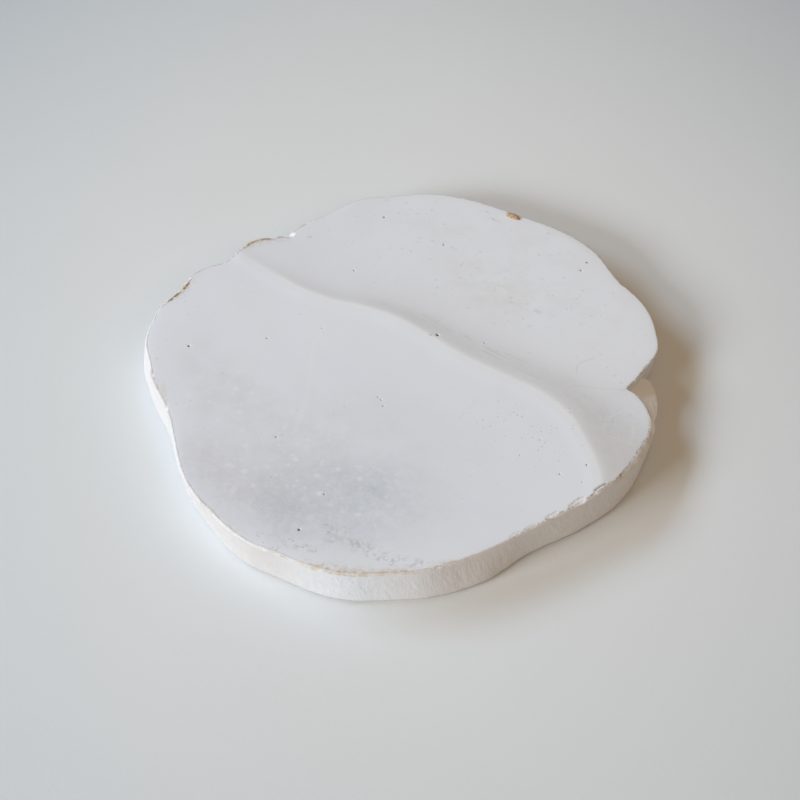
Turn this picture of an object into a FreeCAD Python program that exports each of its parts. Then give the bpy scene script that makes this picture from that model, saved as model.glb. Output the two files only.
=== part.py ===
"""Plaster press mold: a cast slab with an irregular rim and an S-shaped step across its face.

The slab is cast in two pours that bond together: a dense face coat that carries the worked
surface, and a thick body pour behind it.  A corner of the face coat beside the notch has
cracked loose and stays seated.  A low wedge of flash fills the foot of the notch, and a crumb
of dried clay sticks to the back rim.

Frame: millimetres, +Z up, the slab resting on Z = 0 with its bounding box centred on the
origin.  +X points right and +Y points away from the front rim, across the step.
"""
import FreeCAD, Part
import math
import os
import Sketcher

V = FreeCAD.Vector

DIMENSIONS = {
    # the slab
    "plateau_top": 18.0,
    "far_top": 15.0,
    "trough_floor": 14.7,
    "coat_depth": 4.0,
    "blank_margin": 1.0,
    # the step across the face: widths at its left and right ends
    "fall_left": 20.0,
    "fall_right": 21.0,
    "rise_left": 14.0,
    "rise_right": 17.0,
    # the flash wedge in the notch
    "flash_crest": 13.0,
    "flash_toe": 6.0,
    # the crumb of clay on the back rim
    "crumb_length": 7.0,
    "crumb_width": 3.6,
    "crumb_height": 1.8,
}

# Rim of the near lobe, from the left waist round the front to the notch: x, y and how far the
# foot of the wall stands outside the rim there.
NEAR_RIM = [
    (-53.1, 85.6, 0.0), (-62.6, 84.4, 0.0), (-70.1, 81.9, 0.0), (-77.1, 73.4, 0.0),
    (-81.1, 66.9, 0.0), (-89.1, 62.9, 0.0), (-97.6, 55.9, 0.5), (-102.6, 46.4, 1.0),
    (-108.1, 38.4, 1.5), (-112.1, 26.4, 2.0), (-113.9, 11.4, 2.8), (-111.2, 0.4, 2.0),
    (-108.6, -11.6, 0.5), (-103.1, -23.3, 0.3), (-98.9, -35.1, 0.0), (-95.9, -46.6, 0.0),
    (-93.0, -57.8, -1.0), (-89.1, -68.7, -2.2), (-82.6, -80.1, -3.0), (-73.6, -90.6, -1.5),
    (-62.2, -100.8, -1.0), (-47.6, -108.4, -0.6), (-32.1, -115.2, 0.0), (-20.6, -117.8, 0.3),
    (-5.6, -117.5, 0.8), (9.4, -115.9, 1.4), (23.4, -110.9, 2.6), (36.2, -104.4, 3.0),
    (50.4, -96.3, 0.0), (65.4, -87.4, 0.3), (82.4, -75.8, 1.0), (92.4, -66.6, 0.8),
    (101.6, -55.1, -0.8), (107.8, -43.6, -2.0), (110.4, -35.1, -2.0), (108.6, -26.9, -1.5),
    (105.1, -19.0, -1.0), (99.8, -13.4, 0.0),
]
# Rim of the far lobe, from the notch round the back to the left waist.
FAR_RIM = [
    (99.8, -13.4, 0.0), (105.6, -7.4, -2.5), (111.4, 1.4, -3.0), (116.2, 9.4, -2.5),
    (116.8, 20.4, -1.5), (114.8, 34.6, -1.0), (109.4, 46.2, -1.0), (102.9, 55.4, -0.5),
    (98.9, 63.4, 0.0), (94.9, 72.9, 0.0), (86.4, 84.2, 0.0), (72.6, 95.1, 0.0),
    (58.4, 102.8, 0.0), (43.4, 110.6, 0.0), (27.4, 116.7, 0.0), (11.4, 118.6, 0.0),
    (-4.6, 116.4, 0.0), (-19.5, 113.6, 0.0), (-29.4, 106.7, 0.0), (-38.6, 99.6, 0.0),
    (-47.9, 93.0, 0.0), (-53.1, 85.6, 0.0),
]
# Crest of the step, where the near plateau breaks off, running past the rim at both ends.
CREST = [
    (-90.2, 90.7), (-72.2, 71.7), (-58.1, 59.0), (-44.7, 48.5), (-31.6, 41.7),
    (-18.0, 37.4), (-2.4, 30.2), (14.7, 17.6), (32.0, 3.6), (49.7, -8.3),
    (62.8, -17.5), (73.4, -29.8), (80.1, -45.9), (85.1, -66.1), (85.2, -90.1),
]
STATIONS = 13
# Across the step.  FALL_PROFILE: share of the fall's width, share of its drop.  RISE_PROFILE:
# share of the rise's width past the fall, share of its height.
FALL_PROFILE = [(0.0, 0.06), (0.15, 0.26), (0.30, 0.46), (0.50, 0.66), (0.75, 0.84), (1.0, 0.95)]
RISE_PROFILE = [(0.20, 0.0), (0.60, 0.55)]
# The step's section runs on a little past both ends, and a little above the flats there.
NEAR_OVERRUN = -0.30
FAR_OVERRUN = 1.10
OVERRUN_LIFT = 0.15
FAR_LOBE_START = 0.85
# Outer edge of the slab of air above the far lobe, clear of the rim.
FAR_CORNERS = [(150.0, -110.0), (150.0, 150.0), (-60.0, 150.0)]
AIR_TOP = 40.0
AIR_SIDE = 400.0
# Cracks that bound the loose corner of the face coat, then its far side outside the rim.
CRACK_ARC = [(99.8, -13.4), (95.0, -19.1), (97.8, -26.3), (92.4, -33.0), (88.8, -42.2)]
CRACK_LINE_END = (109.4, -51.6)
OUTSIDE_RIM = [(126.4, -49.6), (126.4, -12.6), (105.4, -8.6)]
# Plan of the flash wedge: its toe outside the rim, and its root inside the wall.
FLASH_TOE = [(102.9, -6.1), (110.6, 0.2), (113.0, -7.6), (114.0, -15.6), (112.8, -24.6)]
FLASH_ROOT = [(101.4, -31.6), (93.4, -15.6)]
# Lumps of the clay crumb along the back rim: centre and share of the crumb's full size.
CRUMB_LUMPS = [(53.8, 101.8, 1.0), (56.6, 100.3, 0.75)]
CRUMB_TURN = -28.0


def dimension(sheet, name):
    return float(sheet.get(name))


def make_sheet(doc):
    sheet = doc.addObject("Spreadsheet::Sheet", "Dims")
    for row, (name, value) in enumerate(DIMENSIONS.items(), start=1):
        sheet.set(f"A{row}", name)
        sheet.set(f"B{row}", str(value))
        sheet.setAlias(f"B{row}", name)
    doc.recompute()
    return sheet


def origin_plane(body, role):
    return next(f for f in body.Origin.OriginFeatures if f.Role == role)


def foot_of(rim):
    """The rim's points moved out, away from the middle of the slab, by their own flare."""
    moved = []
    for x, y, flare in rim:
        reach = 1.0 + flare / math.hypot(x, y)
        moved.append((x * reach, y * reach))
    return moved


def smooth_curve(points):
    curve = Part.BSplineCurve()
    curve.interpolate([V(x, y, 0) for x, y in points])
    return curve


def outline_sketch(body, name, near, far):
    """A closed outline of two smooth curves that meet in corners at the waist and the notch."""
    sketch = body.newObject("Sketcher::SketchObject", name)
    sketch.AttachmentSupport = (origin_plane(body, "XY_Plane"), "")
    sketch.MapMode = "FlatFace"
    sketch.addGeometry([smooth_curve(near), smooth_curve(far)], False)
    for curve in (0, 1):
        sketch.addConstraint(Sketcher.Constraint("Block", curve))
    return sketch


def make_blank(doc):
    """The whole slab before its face is shaped, a little taller than the plateau."""
    body = doc.addObject("PartDesign::Body", "Blank")
    foot = outline_sketch(body, "FootOutline", foot_of(NEAR_RIM), foot_of(FAR_RIM))
    rim = outline_sketch(body, "RimOutline", [p[:2] for p in NEAR_RIM], [p[:2] for p in FAR_RIM])
    rim.setExpression("AttachmentOffset.Base.z", "Dims.plateau_top + Dims.blank_margin")
    loft = body.newObject("PartDesign::AdditiveLoft", "Wall")
    loft.Profile = foot
    loft.Sections = [rim]
    loft.Ruled = True
    doc.recompute()
    return body


def station(sheet, crest, along):
    """The crest's point, the level direction across it, and the two widths of the step there."""
    parameter = crest.FirstParameter + along * (crest.LastParameter - crest.FirstParameter)
    tangent = crest.tangent(parameter)[0]
    across = V(-tangent.y, tangent.x, 0)
    fall, rise = (
        (1 - along) * dimension(sheet, side + "_left") + along * dimension(sheet, side + "_right")
        for side in ("fall", "rise")
    )
    return crest.value(parameter), across, fall, rise


def step_section(sheet, crest, along):
    """The air above the step at one station of its crest, as a closed upright wire.

    It starts just above the plateau, rolls over the crest, falls in a long hollow curve to a
    shallow trough, and rises a little to end just above the far lobe.
    """
    start, across, fall, rise = station(sheet, crest, along)
    plateau = dimension(sheet, "plateau_top")
    floor = dimension(sheet, "trough_floor")
    far = dimension(sheet, "far_top")

    def place(distance, height):
        return start + across * distance + V(0, 0, height)

    near_end = NEAR_OVERRUN * fall
    far_end = fall + FAR_OVERRUN * rise
    profile = [place(near_end, plateau + OVERRUN_LIFT)]
    profile += [place(run * fall, plateau - drop * (plateau - floor)) for run, drop in FALL_PROFILE]
    profile += [place(fall + run * rise, floor + lift * (far - floor)) for run, lift in RISE_PROFILE]
    profile.append(place(far_end, far + OVERRUN_LIFT))
    curve = Part.BSplineCurve()
    curve.interpolate(profile)
    high_near = place(near_end, AIR_TOP)
    high_far = place(far_end, AIR_TOP)
    sides = [
        Part.LineSegment(curve.EndPoint, high_far),
        Part.LineSegment(high_far, high_near),
        Part.LineSegment(high_near, curve.StartPoint),
    ]
    return Part.Wire([edge.toShape() for edge in [curve] + sides])


def prism(points, bottom, top):
    corners = [V(x, y, bottom) for x, y in points]
    face = Part.Face(Part.makePolygon(corners + corners[:1]))
    return face.extrude(V(0, 0, top - bottom))


def air_above_face(sheet):
    """Everything above the worked face: the air over the plateau, the step and the far lobe."""
    crest = smooth_curve(CREST)
    shares = [i / (STATIONS - 1) for i in range(STATIONS)]
    step_air = Part.makeLoft([step_section(sheet, crest, along) for along in shares], True)
    inner_edge = []
    for along in shares:
        start, across, fall, rise = station(sheet, crest, along)
        point = start + across * (fall + FAR_LOBE_START * rise)
        inner_edge.append((point.x, point.y))
    far_air = prism(inner_edge + FAR_CORNERS, dimension(sheet, "far_top"), AIR_TOP)
    plateau = dimension(sheet, "plateau_top")
    plateau_air = Part.makeBox(AIR_SIDE, AIR_SIDE, AIR_TOP - plateau)
    plateau_air.translate(V(-AIR_SIDE / 2, -AIR_SIDE / 2, plateau))
    return plateau_air.fuse([step_air, far_air]).removeSplitter()


def make_air(doc, sheet, name, sunk):
    """The air above the face, or the same shape sunk by the coat's depth."""
    air = doc.addObject("Part::Feature", name)
    air.Shape = air_above_face(sheet)
    if sunk:
        air.setExpression("Placement.Base.z", "-Dims.coat_depth")
    return air


def boolean(doc, kind, name, base, tool):
    result = doc.addObject(kind, name)
    result.Label = name
    result.Base = base
    result.Tool = tool
    return result


def make_fragment_tool(doc, sheet):
    """An upright prism whose sides are the two cracks."""
    crack = smooth_curve(CRACK_ARC)
    corners = [CRACK_ARC[-1], CRACK_LINE_END] + OUTSIDE_RIM + [CRACK_ARC[0]]
    points = [V(x, y, 0) for x, y in corners]
    edges = [crack.toShape()]
    edges += [Part.LineSegment(a, b).toShape() for a, b in zip(points, points[1:])]
    tool = doc.addObject("Part::Feature", "CrackPrism")
    tool.Shape = Part.Face(Part.Wire(edges)).extrude(V(0, 0, dimension(sheet, "plateau_top")))
    return tool


def make_flash_wedge(doc, sheet):
    """The flash before it is trimmed to the wall: a sloped top between crest and toe."""
    crest = dimension(sheet, "flash_crest")
    toe = dimension(sheet, "flash_toe")
    ground = [V(x, y, 0) for x, y in FLASH_TOE + FLASH_ROOT]
    lip = [V(x, y, toe) for x, y in FLASH_TOE]
    root = [V(x, y, crest) for x, y in FLASH_ROOT]
    top = lip + root
    peak = (root[0] + root[1]) * 0.5
    faces = [Part.Face(Part.makePolygon(ground + ground[:1]))]
    for i, low in enumerate(ground):
        after = (i + 1) % len(ground)
        faces.append(Part.Face(Part.makePolygon([low, ground[after], top[after], low])))
        faces.append(Part.Face(Part.makePolygon([low, top[after], top[i], low])))
        faces.append(Part.Face(Part.makePolygon([top[i], top[after], peak, top[i]])))
    wedge = doc.addObject("Part::Feature", "FlashWedge")
    wedge.Shape = Part.Solid(Part.Shell(faces))
    return wedge


def make_crumb(doc):
    """Two ellipsoid lumps run together, before they are trimmed to the slab they sit on."""
    lumps = []
    for i, (x, y, share) in enumerate(CRUMB_LUMPS):
        lump = doc.addObject("Part::Ellipsoid", f"CrumbLump{i + 1}")
        lump.setExpression("Radius1", f"Dims.crumb_height * {share}")
        lump.setExpression("Radius2", f"Dims.crumb_length * 0.36 * {share}")
        lump.setExpression("Radius3", f"Dims.crumb_width * 0.5 * {share}")
        turn = FreeCAD.Rotation(V(0, 0, 1), CRUMB_TURN)
        lump.Placement = FreeCAD.Placement(V(x, y, 0), turn)
        lump.setExpression("Placement.Base.z", "Dims.far_top")
        lumps.append(lump)
    return boolean(doc, "Part::Fuse", "CrumbLumps", lumps[0], lumps[1])


def check(doc):
    for item in doc.Objects:
        bad = {"Invalid", "Error"} & set(item.State)
        if bad:
            raise RuntimeError(f"{item.Name} is {bad}")


def main():
    os.makedirs("parts", exist_ok=True)
    doc = FreeCAD.newDocument("plaster_mold")
    sheet = make_sheet(doc)
    blank = make_blank(doc)
    air = make_air(doc, sheet, "AirAboveFace", sunk=False)
    sunk_air = make_air(doc, sheet, "AirAboveCoatFloor", sunk=True)
    slab = boolean(doc, "Part::Cut", "Slab", blank, air)
    coat = boolean(doc, "Part::Common", "WholeCoat", slab, sunk_air)
    cracks = make_fragment_tool(doc, sheet)
    wedge = make_flash_wedge(doc, sheet)
    crumb = make_crumb(doc)
    nodes = [
        boolean(doc, "Part::Cut", "body_pour", blank, sunk_air),
        boolean(doc, "Part::Cut", "face_coat", coat, cracks),
        boolean(doc, "Part::Common", "cracked_corner", coat, cracks),
        boolean(doc, "Part::Cut", "notch_flash", wedge, blank),
        boolean(doc, "Part::Cut", "clay_crumb", crumb, slab),
    ]
    doc.recompute()
    check(doc)
    for node in nodes:
        shape = node.Shape
        if shape.isNull() or not shape.isValid():
            raise RuntimeError(f"{node.Label} has no valid shape")
        box = shape.optimalBoundingBox()
        print(
            f"{node.Label}: {len(shape.Solids)} solid, {shape.Volume / 1000:.2f} cm3,"
            f" x {box.XMin:.1f}..{box.XMax:.1f} y {box.YMin:.1f}..{box.YMax:.1f}"
            f" z {box.ZMin:.2f}..{box.ZMax:.2f}"
        )
        shape.exportStep(os.path.join("parts", node.Label + ".step"))


main()
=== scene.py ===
"""Looks of the plaster press mold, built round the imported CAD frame.

The outline comes from the frame: rays shot at the CAD wall give its radius at every angle.  The
worked face, the broken rim, the chips, cracks and pinholes are mesh, and the colour and fine
grain are node materials that read a few masks kept on the vertices.  Lengths inside this script
are millimetres in the CAD's frame, and become metres when a mesh is made.
"""

import bmesh
import bpy
import math
import numpy as np
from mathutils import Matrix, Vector
from mathutils.bvhtree import BVHTree
from mathutils.geometry import delaunay_2d_cdt
from mathutils.kdtree import KDTree


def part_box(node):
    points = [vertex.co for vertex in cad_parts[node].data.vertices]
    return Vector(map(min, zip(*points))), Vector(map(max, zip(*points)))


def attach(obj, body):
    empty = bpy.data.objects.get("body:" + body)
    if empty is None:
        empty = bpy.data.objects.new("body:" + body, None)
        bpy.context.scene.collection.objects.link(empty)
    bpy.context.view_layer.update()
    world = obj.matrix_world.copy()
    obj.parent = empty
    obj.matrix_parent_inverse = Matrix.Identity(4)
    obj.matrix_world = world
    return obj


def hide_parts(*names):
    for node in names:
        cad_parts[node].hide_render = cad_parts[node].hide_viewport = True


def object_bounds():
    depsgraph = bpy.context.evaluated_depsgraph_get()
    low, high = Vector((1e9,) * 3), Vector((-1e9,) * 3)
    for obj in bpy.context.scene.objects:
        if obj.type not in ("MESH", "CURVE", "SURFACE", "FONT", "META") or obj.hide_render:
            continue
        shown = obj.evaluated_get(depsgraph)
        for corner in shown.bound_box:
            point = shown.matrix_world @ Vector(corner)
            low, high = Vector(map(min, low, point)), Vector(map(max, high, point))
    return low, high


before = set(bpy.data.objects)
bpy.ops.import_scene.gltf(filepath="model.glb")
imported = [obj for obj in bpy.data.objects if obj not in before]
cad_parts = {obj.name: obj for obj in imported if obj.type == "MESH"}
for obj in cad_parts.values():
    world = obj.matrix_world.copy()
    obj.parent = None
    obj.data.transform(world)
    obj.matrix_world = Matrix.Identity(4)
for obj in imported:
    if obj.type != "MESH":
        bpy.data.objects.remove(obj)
CAD_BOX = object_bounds()
MM = 0.001

# Levels of the face.
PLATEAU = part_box("face_coat")[1].z / MM
COAT_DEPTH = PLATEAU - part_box("body_pour")[1].z / MM
STEP_LEFT, STEP_RIGHT = 2.1, 3.3

# Crest of the step, where the near plateau breaks off.
CREST = [
    (-90.2, 90.7), (-72.2, 71.7), (-58.1, 59), (-44.7, 48.5), (-31.6, 41.7),
    (-18, 37.4), (-2.4, 30.2), (14.7, 17.6), (32, 3.6), (49.7, -8.3),
    (62.8, -17.5), (73.4, -29.8), (80.1, -45.9), (85.1, -66.1), (85.2, -90.1),
]
# Cracks round the loose corner.
CRACK_ARC = [(99.8, -13.4), (95, -19.1), (97.8, -26.3), (92.4, -33), (88.8, -42.2)]
CRACK_LINE_END = (109.4, -51.6)
# Ridge on the flash wedge, and how far the wedge falls from the notch to its toe.
FLASH_RIDGE = [(109.6, -31), (112.6, -24.6), (110.8, -16.6)]
FLASH_FALL = 4.2
# Height of the wedge above its CAD solid at the notch's apex, and its thin ridge.
FLASH_OVER, RIDGE_HEIGHT, RIDGE_WIDTH = 1.4, 0.6, 0.5
FLASH_ROWS = 9
# The wedge's base stays this far above the slab's, so that the two flat faces don't coincide.
FLASH_BASE = 0.05

# Staging, in metres and degrees: how far each light stands, the camera's aim, height above the
# horizon and distance, and the table's size and how far it lies below the slab.
LIGHT_DISTANCE = 4.0
CAMERA_AIM, CAMERA_HEIGHT, CAMERA_DISTANCE = (0.0001, -0.0234, 0.018), 47.0, 0.7225
CAMERA_SENSOR, CAMERA_LENS = 24, 50
TABLE_SIZE, TABLE_DROP = 8, 0.00005
ROOM_GLOW = (0.285, 0.199, 0.102, 1)
# Mesh spacing.
RIM_STEP = 0.45
FINE, MEDIUM, COARSE = 0.45, 0.75, 1.25
COAT_ROWS, BODY_ROWS = 9, 24


# ---- noise
class Grain:
    """Smooth seeded noise in three dimensions, from -1 to 1. It repeats after CELLS steps."""

    CELLS = 48
    FLAT_LEVEL = 7.3

    def __init__(self, seed):
        self.table = np.random.default_rng(seed).uniform(-1, 1, (self.CELLS,) * 3)

    def at(self, points, pitch):
        points = np.asarray(points, float) / pitch
        if points.shape[1] == 2:
            points = np.column_stack([points, np.full(len(points), self.FLAT_LEVEL)])
        low = np.floor(points).astype(int)
        part = points - low
        part = part * part * part * (part * (part * 6 - 15) + 10)
        total = np.zeros(len(points))
        for corner in np.ndindex(2, 2, 2):
            share = np.ones(len(points))
            for axis in range(3):
                share *= part[:, axis] if corner[axis] else 1 - part[:, axis]
            i, j, k = ((low + corner) % self.CELLS).T
            total += share * self.table[i, j, k]
        return total

    def fractal(self, points, pitch, octaves=4, gain=0.5):
        total, size, weight = 0.0, 1.0, 0.0
        for octave in range(octaves):
            total = total + size * self.at(np.asarray(points) + 31.7 * octave, pitch / 2**octave)
            weight += size
            size *= gain
        return total / weight


def smoothstep(low, high, values):
    part = np.clip((values - low) / (high - low), 0, 1)
    return part * part * (3 - 2 * part)


def blend(first, last, share):
    return first + (last - first) * share


def hump(values, middle, width):
    """A smooth hump, 1 at its middle."""
    return np.exp(-(((values - middle) / width) ** 2))


# ---- curves
def between(first, last, start, stop, t):
    return (stop - t) / (stop - start) * first + (t - start) / (stop - start) * last


def smooth_line(points, step):
    """A centripetal Catmull-Rom curve through the points, cut at an even step."""
    points = np.asarray(points, float)
    ends = 2 * points[[0, -1]] - points[[1, -2]]
    points = np.vstack([ends[0], points, ends[1]])
    pieces = []
    for p0, p1, p2, p3 in zip(points, points[1:], points[2:], points[3:]):
        t0 = 0.0
        t1 = t0 + np.linalg.norm(p1 - p0) ** 0.5
        t2 = t1 + np.linalg.norm(p2 - p1) ** 0.5
        t3 = t2 + np.linalg.norm(p3 - p2) ** 0.5
        count = max(2, int(np.linalg.norm(p2 - p1) / step * 4))
        t = np.linspace(t1, t2, count, endpoint=False)[:, None]
        a1 = between(p0, p1, t0, t1, t)
        a2 = between(p1, p2, t1, t2, t)
        a3 = between(p2, p3, t2, t3, t)
        b1 = between(a1, a2, t0, t2, t)
        b2 = between(a2, a3, t1, t3, t)
        pieces.append(between(b1, b2, t1, t2, t))
    pieces.append(points[-2:-1])
    return resample(np.vstack(pieces), step)


def resample(line, step):
    length = np.concatenate([[0], np.cumsum(np.linalg.norm(np.diff(line, axis=0), axis=1))])
    count = max(2, int(round(length[-1] / step)) + 1)
    want = np.linspace(0, length[-1], count)
    return np.column_stack([np.interp(want, length, line[:, k]) for k in range(line.shape[1])])


class NearLine:
    """The nearest point of a line: how far across it (left is positive) and how far along."""

    def __init__(self, line, closed=False):
        self.line = line
        ahead = np.roll(line, -1, axis=0) - np.roll(line, 1, axis=0)
        if not closed:
            ahead[0], ahead[-1] = line[1] - line[0], line[-1] - line[-2]
        ahead /= np.linalg.norm(ahead, axis=1)[:, None]
        self.left = np.column_stack([-ahead[:, 1], ahead[:, 0]])
        step = np.linalg.norm(np.diff(line, axis=0), axis=1)
        self.length = np.concatenate([[0], np.cumsum(step)])
        self.tree = KDTree(len(line))
        for i, (x, y) in enumerate(line):
            self.tree.insert((x, y, 0), i)
        self.tree.balance()

    def look(self, points):
        index = np.array([self.tree.find((x, y, 0))[1] for x, y in points[:, :2]])
        offset = points[:, :2] - self.line[index]
        across = (offset * self.left[index]).sum(1)
        return across, self.length[index], index, np.linalg.norm(offset, axis=1)


# ---- outline
def wall_tree():
    points, faces = [], []
    for node in ("face_coat", "body_pour", "cracked_corner"):
        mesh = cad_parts[node].data
        start = len(points)
        points += [v.co for v in mesh.vertices]
        faces += [[start + i for i in p.vertices] for p in mesh.polygons]
    return BVHTree.FromPolygons(points, faces)


def wall_radius(tree, angles, height):
    """How far the CAD wall stands from the middle at each angle, at one height."""
    reach = 2 * max(CAD_BOX[1])
    radii = []
    for angle in angles:
        out = Vector((math.cos(angle), math.sin(angle), 0))
        hit = tree.ray_cast(out * reach + Vector((0, 0, height * MM)), -out)[0]
        radii.append(math.hypot(hit.x, hit.y) / MM)
    return np.array(radii)


# Heights at which rays measure the CAD wall, and how many go round it.
LOW_RAY, HIGH_RAY = 1.0, 12.0
RAYS = 4000


class Outline:
    """The rim, evenly stepped anticlockwise, with the wall's radius at any height."""

    def __init__(self):
        tree = wall_tree()
        angles = np.linspace(0, 2 * math.pi, RAYS, endpoint=False)
        low, high = (wall_radius(tree, angles, z) for z in (LOW_RAY, HIGH_RAY))
        ring = np.column_stack([high * np.cos(angles), high * np.sin(angles), angles])
        ring = np.vstack([ring, ring[:1] + [0, 0, 2 * math.pi]])
        even = resample(ring, RIM_STEP)[:-1]
        self.angle = even[:, 2]
        self.low = np.interp(self.angle, angles, low, period=2 * math.pi)
        self.high = np.interp(self.angle, angles, high, period=2 * math.pi)
        upright = self.at(np.full(len(self.angle), PLATEAU))
        self.rim = self.at(relief(upright)[0])
        self.near = NearLine(self.rim, closed=True)
        self.outward = -self.near.left

    def at(self, height):
        radius = self.low + (self.high - self.low) * (height - LOW_RAY) / (HIGH_RAY - LOW_RAY)
        return np.column_stack([radius * np.cos(self.angle), radius * np.sin(self.angle)])


# ---- relief
GRAIN = Grain(11)
WARP = Grain(23)
CREST_LINE = NearLine(smooth_line(CREST, 0.5))
CREST_LENGTH = CREST_LINE.length[-1]
# Share of the drop that falls in the quick roll, at the left and right ends.
ROLL_LEFT, ROLL_RIGHT = 0.46, 0.50
# Where the fall starts, short of the crest line, the roll's width at the left and right ends,
# and the width of the slope that follows it.
FALL_START = 1.6
ROLL_NARROW, ROLL_WIDE = 5.0, 13.4
SLOPE_WIDTH = 23.0
# The spill to the rim: how far past the crest it starts, how it steepens, and its most.
SPILL_START, SPILL_CURVE, SPILL_MOST = 8.0, 0.006, 1.0
# The faint lip before the crest: its place, width and height.
LIP_PLACE, LIP_WIDTH, LIP_HEIGHT = -3.6, 4.0, 0.16


def relief(points):
    """Height of the worked face, and each point's place across and along the step.

    The step is a quick roll over the crest and a long fading slope after it.  The roll grows
    wider towards the right, where the face also spills down to the rim.
    """
    across, along, _, _ = CREST_LINE.look(points)
    share = along / CREST_LENGTH
    across = across + 0.5 * WARP.at(points[:, :2], 26.0)
    past = np.maximum(across + FALL_START, 0)
    width = blend(ROLL_NARROW, ROLL_WIDE, smoothstep(0.20, 0.80, share))
    roll = 1 - np.exp(-((past / width) ** 1.7))
    slope = 1 - np.exp(-((past / SLOPE_WIDTH) ** 1.5))
    step = blend(STEP_LEFT, STEP_RIGHT, smoothstep(-70, 80, points[:, 0]))
    step = step * smoothstep(-100, 5, points[:, 0])
    quick = blend(ROLL_LEFT, ROLL_RIGHT, smoothstep(0.30, 0.70, share))
    spill = SPILL_CURVE * np.maximum(across - SPILL_START, 0) ** 2 * smoothstep(0.80, 0.92, share)
    lip = LIP_HEIGHT * hump(across, LIP_PLACE, LIP_WIDTH)
    sway = 0.14 * GRAIN.at(points[:, :2], 44.0) + 0.05 * GRAIN.at(points[:, :2], 13.0)
    fall = step * blend(slope, roll, quick) + np.minimum(spill, SPILL_MOST)
    return PLATEAU - fall + lip + sway, across, along


# Rim break: angle in degrees, how far the skin is broken back, how deep the break drops, and
# how dark a brown line lies along its edge.
BREAK = [
    (0, 0.5, 0.3, 0.9), (8, 0.4, 0.3, 0.3), (20, 0.4, 0.3, 0.3), (45, 0.5, 0.4, 0.4),
    (60, 0.6, 0.4, 0.6), (90, 0.5, 0.4, 0.3), (110, 0.6, 0.4, 0.3), (117, 1.2, 0.6, 0.8),
    (122, 0.8, 0.5, 0.5),
    (127, 2, 0.9, 1.6), (134, 1.9, 0.9, 1.5), (138, 0.8, 0.5, 0.8), (150, 0.9, 0.6, 0.8),
    (153, 2.2, 0.9, 1.8), (159, 1.9, 0.8, 1.6), (163, 0.6, 0.4, 0.1), (180, 1.2, 0.4, 0.15),
    (200, 1, 0.4, 0.25), (215, 0.8, 0.4, 0.5),
    (222, 1.2, 0.6, 0.5), (232, 1.5, 0.8, 0.45), (238, 1.4, 0.8, 0.35), (248, 1.4, 0.8, 0.15),
    (256, 1.6, 0.6, 0.4), (268, 1.2, 0.5, 0.6), (280, 0.8, 0.4, 0.5), (290, 0.5, 0.3, 0.15),
    (296, 0.7, 0.5, 0.6), (306, 0.9, 0.6, 0.9), (314, 1.1, 0.7, 0.9), (322, 1.4, 0.7, 0.9),
    (331, 2.2, 0.7, 1), (339, 2.6, 0.8, 1), (344, 1.8, 0.7, 0.6), (348, 0.6, 0.4, 0.3),
    (353, 0.5, 0.3, 0.9), (360, 0.5, 0.3, 0.9),
]
# Chips out of the rim: middle, half length along the rim, half depth inward, and drop.
CHIPS = [
    ((46.5, -97.4), 2.6, 1, 0.4), ((53.6, -93.4), 3.4, 1.1, 0.5), ((62.6, -88.2), 4.2, 1.8, 0.6),
    ((73.4, -81.4), 5.2, 2.3, 0.7), ((80.6, -76.6), 2.4, 1.3, 0.6), ((93.2, -65.2), 1.4, 1.3, 0.6),
    ((110.2, -38.2), 3.6, 1.6, 0.6),
    ((-47.5, -109.4), 3, 1.4, 1.2), ((-51.5, -107.6), 2, 1, 0.8),
    ((-65.6, -100.2), 5, 1.4, 1.2), ((-72, -94), 3.4, 1.2, 0.9),
    ((-82, -81.5), 3, 1.2, 0.9), ((-89, -72), 2.4, 1.4, 0.9),
    ((-61, 85), 3.2, 2.4, 1.8), ((-53.6, 85.8), 3.6, 2.2, 1.4), ((-103.5, 46), 3, 1.6, 1.8),
    ((-98.4, 54), 2.2, 1, 1), ((-45, 95.4), 3, 1.4, 1),
    ((-109.3, -8.6), 2.6, 1.2, 0.6), ((-101.2, -28), 2.6, 1.2, 0.8),
    ((-97.6, -44), 2.4, 1.4, 0.9), ((14.8, -114.6), 2.2, 1.2, 0.8),
    ((23.6, -111.6), 1.8, 1.2, 0.8), ((104, 54), 2.6, 1, 0.8),
]
# Pits in the face: middle, radius, depth.
PITS = [
    ((-40.7, -94.9), 0.62, 0.9), ((-31.2, -76.3), 0.42, 0.5), ((-52.5, -44.8), 0.35, 0.5),
    ((-59.6, 14.7), 0.36, 0.5), ((-35.1, 21.1), 0.3, 0.4), ((-94.2, 9.7), 0.6, 0.4),
    ((-21.4, 61.1), 0.42, 0.6), ((-8.1, -23.3), 0.34, 0.5), ((-7.2, -26.9), 0.34, 0.5),
    ((-9.4, -21.6), 0.25, 0.4), ((78.3, -60.5), 0.42, 0.5), ((66.7, -65.5), 0.34, 0.5),
    ((38.2, 13.5), 0.4, 0.6), ((17, 17), 0.85, 0.9), ((75.6, -69.8), 0.25, 0.3),
    ((59.5, -46.5), 0.25, 0.3), ((50.6, -55), 0.28, 0.3), ((88.5, 68.6), 0.5, 0.4),
    ((85.2, 63), 0.55, 0.3), ((-7.6, 100.2), 0.6, 0.3), ((21.1, 80.6), 0.5, 0.3),
]


# Slits in the skin near the rim: line, half width, depth.
SLITS = [
    ([(80.6, -74.4), (83, -72.2), (85.4, -70.6)], 0.38, 0.5),
]


# How far the wall swells and is scraped, and how far its worn foot draws in.
SWELL, SCRAPE, FOOT_WEAR, FOOT_HEIGHT = 0.22, 0.10, 1.1, 0.9


def around_rim(angles, column):
    table = np.array(BREAK)
    return np.interp(np.degrees(angles) % 360, table[:, 0], table[:, column])


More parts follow.
